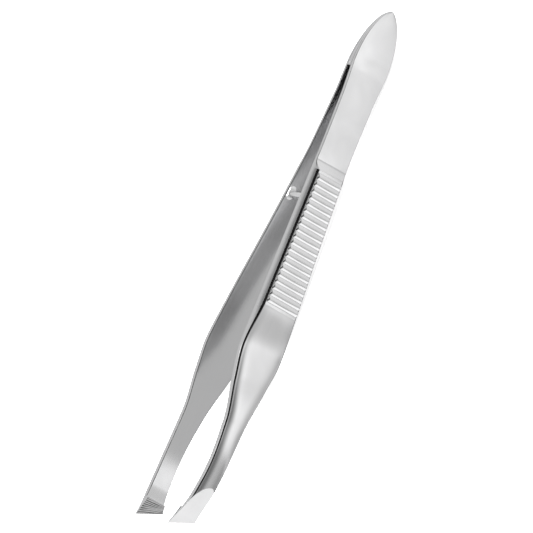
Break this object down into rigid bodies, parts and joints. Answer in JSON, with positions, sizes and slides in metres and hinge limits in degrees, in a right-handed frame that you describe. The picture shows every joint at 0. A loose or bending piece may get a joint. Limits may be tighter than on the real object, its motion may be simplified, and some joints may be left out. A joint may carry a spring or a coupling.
{
  "type": "slant tweezers",
  "caption": "Slant tweezers: two sprung steel arms joined at a leaf-shaped heel, with ribbed grips, a guide pin and slanted, raised tip pads.",
  "frame": {"origin": "centre of the bounding box's bottom: the tweezers lie on the lower edges of their arms", "axes": "+X from the tail to the slanted tips, Y the direction in which the arms open with the near arm at +Y, +Z across the arms' width"},
  "size_m": [0.0951, 0.0138, 0.0093],
  "materials": {
    "arm_steel": "polished stainless steel with a fine grain",
    "spacer_steel": "ground stainless steel",
    "weld_steel": "bright spot of weld",
    "pin_steel": "polished stainless steel"
  },
  "bodies": {
    "heel": {"near_arm_heel": "arm_steel", "far_arm_heel": "arm_steel", "heel_spacer": "spacer_steel", "heel_weld": "weld_steel", "near_arm_spring": "arm_steel", "far_arm_spring": "arm_steel"},
    "near_arm": {"near_arm_front": "arm_steel", "guide_pin": "pin_steel"},
    "far_arm": {"far_arm_front": "arm_steel"}
  },
  "joints": [
    {"name": "near_arm_flex", "type": "hinge", "parent": "heel", "child": "near_arm", "pos_m": [-0.02855, 0.00098, 0.00462], "axis": [0, 0, -1], "range_deg": [0, 3.23], "stiffness_Nm_per_rad": 1.4, "deforming": ["near_arm_spring"]},
    {"name": "far_arm_flex", "type": "hinge", "parent": "heel", "child": "far_arm", "pos_m": [-0.02855, -0.00098, 0.00462], "axis": [0, 0, 1], "range_deg": [0, 3.23], "stiffness_Nm_per_rad": 1.4, "deforming": ["far_arm_spring"]}
  ]
}
